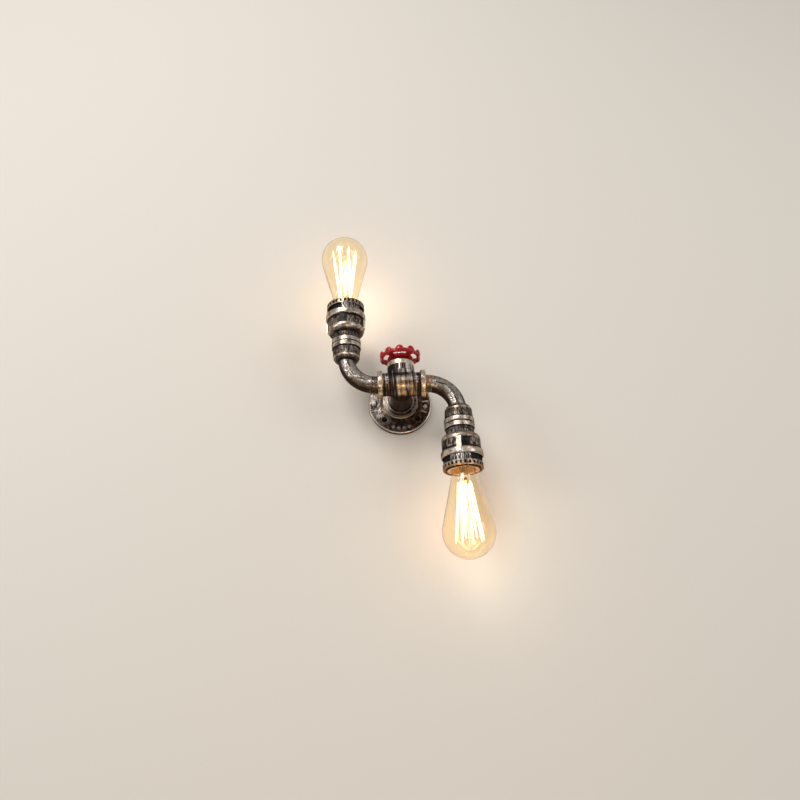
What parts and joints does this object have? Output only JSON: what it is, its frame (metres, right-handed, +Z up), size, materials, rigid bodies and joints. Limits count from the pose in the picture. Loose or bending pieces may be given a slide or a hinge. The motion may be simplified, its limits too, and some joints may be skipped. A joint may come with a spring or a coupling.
{
  "type": "pipe wall sconce",
  "caption": "Industrial wall sconce of pipe fittings: flanged tee with a red valve handwheel switch, swinging elbow arms up and down, and tall clear bulbs.",
  "frame": {"origin": "centre of the wall flange's back face, on the wall plane", "axes": "+Z up, +Y into the wall, so the sconce stands out towards -Y; +X to the right of a person facing the wall"},
  "size_m": [0.2034, 0.1005, 0.4512],
  "materials": {
    "flange_casting": "black lacquer rubbed back to silver and copper on the edges",
    "dark_tube": "very dark brown lacquer",
    "tee_casting": "black over copper, brushed round in streaks",
    "bonnet_metal": "bright champagne bronze",
    "arm_tube": "gunmetal with a brushed silver top",
    "coupling_metal": "bronze with black grooves",
    "housing_metal": "black with copper and silver rubbed edges",
    "clamp_metal": "copper teeth with black slots",
    "red_paint": "glossy deep red paint",
    "plated_steel": "zinc plated",
    "switch_plastic": "black moulding",
    "holder_ceramic": "unglazed white",
    "contact_brass": "plain",
    "cap_metal": "thin plated sheet",
    "black_glass": "black glass",
    "solder": "solder",
    "amber_glass": "clear amber",
    "clear_glass": "clear",
    "tungsten": "glowing wire",
    "wire_steel": "thin wire"
  },
  "bodies": {
    "wall_body": {"wall_flange": "flange_casting", "hub_set_screw": "plated_steel", "rear_tube": "dark_tube", "tee_body": "tee_casting", "bonnet_cap": "bonnet_metal", "switch_body": "switch_plastic", "switch_nut": "plated_steel"},
    "wheel": {"wheel_spindle": "plated_steel", "handwheel": "red_paint", "wheel_washer": "plated_steel", "wheel_nut": "plated_steel"},
    "upper_arm": {"upper_elbow": "arm_tube", "upper_coupling": "coupling_metal", "upper_holder_nipple": "plated_steel", "upper_lock_nut": "plated_steel", "upper_clamp_ring": "clamp_metal", "upper_holder_insert": "holder_ceramic", "upper_terminal_screws": "contact_brass", "upper_screw_shell": "contact_brass", "upper_centre_contact": "contact_brass", "upper_socket_housing": "housing_metal"},
    "upper_foot": {"upper_foot_contact": "solder"},
    "upper_bulb": {"upper_bulb_glass": "amber_glass", "upper_bulb_cap": "cap_metal", "upper_cap_insulator": "black_glass", "upper_glass_stem": "clear_glass", "upper_filament": "tungsten", "upper_support_wires": "wire_steel"},
    "lower_arm": {"lower_elbow": "arm_tube", "lower_coupling": "coupling_metal", "lower_holder_nipple": "plated_steel", "lower_lock_nut": "plated_steel", "lower_clamp_ring": "clamp_metal", "lower_holder_insert": "holder_ceramic", "lower_terminal_screws": "contact_brass", "lower_screw_shell": "contact_brass", "lower_centre_contact": "contact_brass", "lower_socket_housing": "housing_metal"},
    "lower_foot": {"lower_foot_contact": "solder"},
    "lower_bulb": {"lower_bulb_glass": "amber_glass", "lower_bulb_cap": "cap_metal", "lower_cap_insulator": "black_glass", "lower_glass_stem": "clear_glass", "lower_filament": "tungsten", "lower_support_wires": "wire_steel"}
  },
  "joints": [
    {"name": "wheel_turn", "type": "hinge", "parent": "wall_body", "child": "wheel", "pos_m": [0, -0.0685, 0], "axis": [0, 0, 1], "continuous": true},
    {"name": "upper_arm_swing", "type": "hinge", "parent": "wall_body", "child": "upper_arm", "pos_m": [-0.0306, -0.0685, 0], "axis": [1, 0, 0], "range_deg": [-5, 90]},
    {"name": "upper_bulb_rise", "type": "slide", "parent": "upper_arm", "child": "upper_foot", "axis": [0, 0, 1], "range_m": [0, 0.0146]},
    {"name": "upper_bulb_turn", "type": "hinge", "parent": "upper_foot", "child": "upper_bulb", "pos_m": [-0.0697, -0.0685, 0.0846], "axis": [0, 0, 1], "range_deg": [0, 1440]},
    {"name": "lower_arm_swing", "type": "hinge", "parent": "wall_body", "child": "lower_arm", "pos_m": [0.0306, -0.0685, 0], "axis": [-1, 0, 0], "range_deg": [-5, 90]},
    {"name": "lower_bulb_rise", "type": "slide", "parent": "lower_arm", "child": "lower_foot", "axis": [0, 0, -1], "range_m": [0, 0.0146]},
    {"name": "lower_bulb_turn", "type": "hinge", "parent": "lower_foot", "child": "lower_bulb", "pos_m": [0.0697, -0.0685, -0.0846], "axis": [0, 0, -1], "range_deg": [0, 1440]}
  ],
  "couplings": [
    {"joint": "upper_bulb_rise", "follows": "upper_bulb_turn", "m_per_rad": 0.00057757},
    {"joint": "lower_bulb_rise", "follows": "lower_bulb_turn", "m_per_rad": 0.00057757}
  ]
}
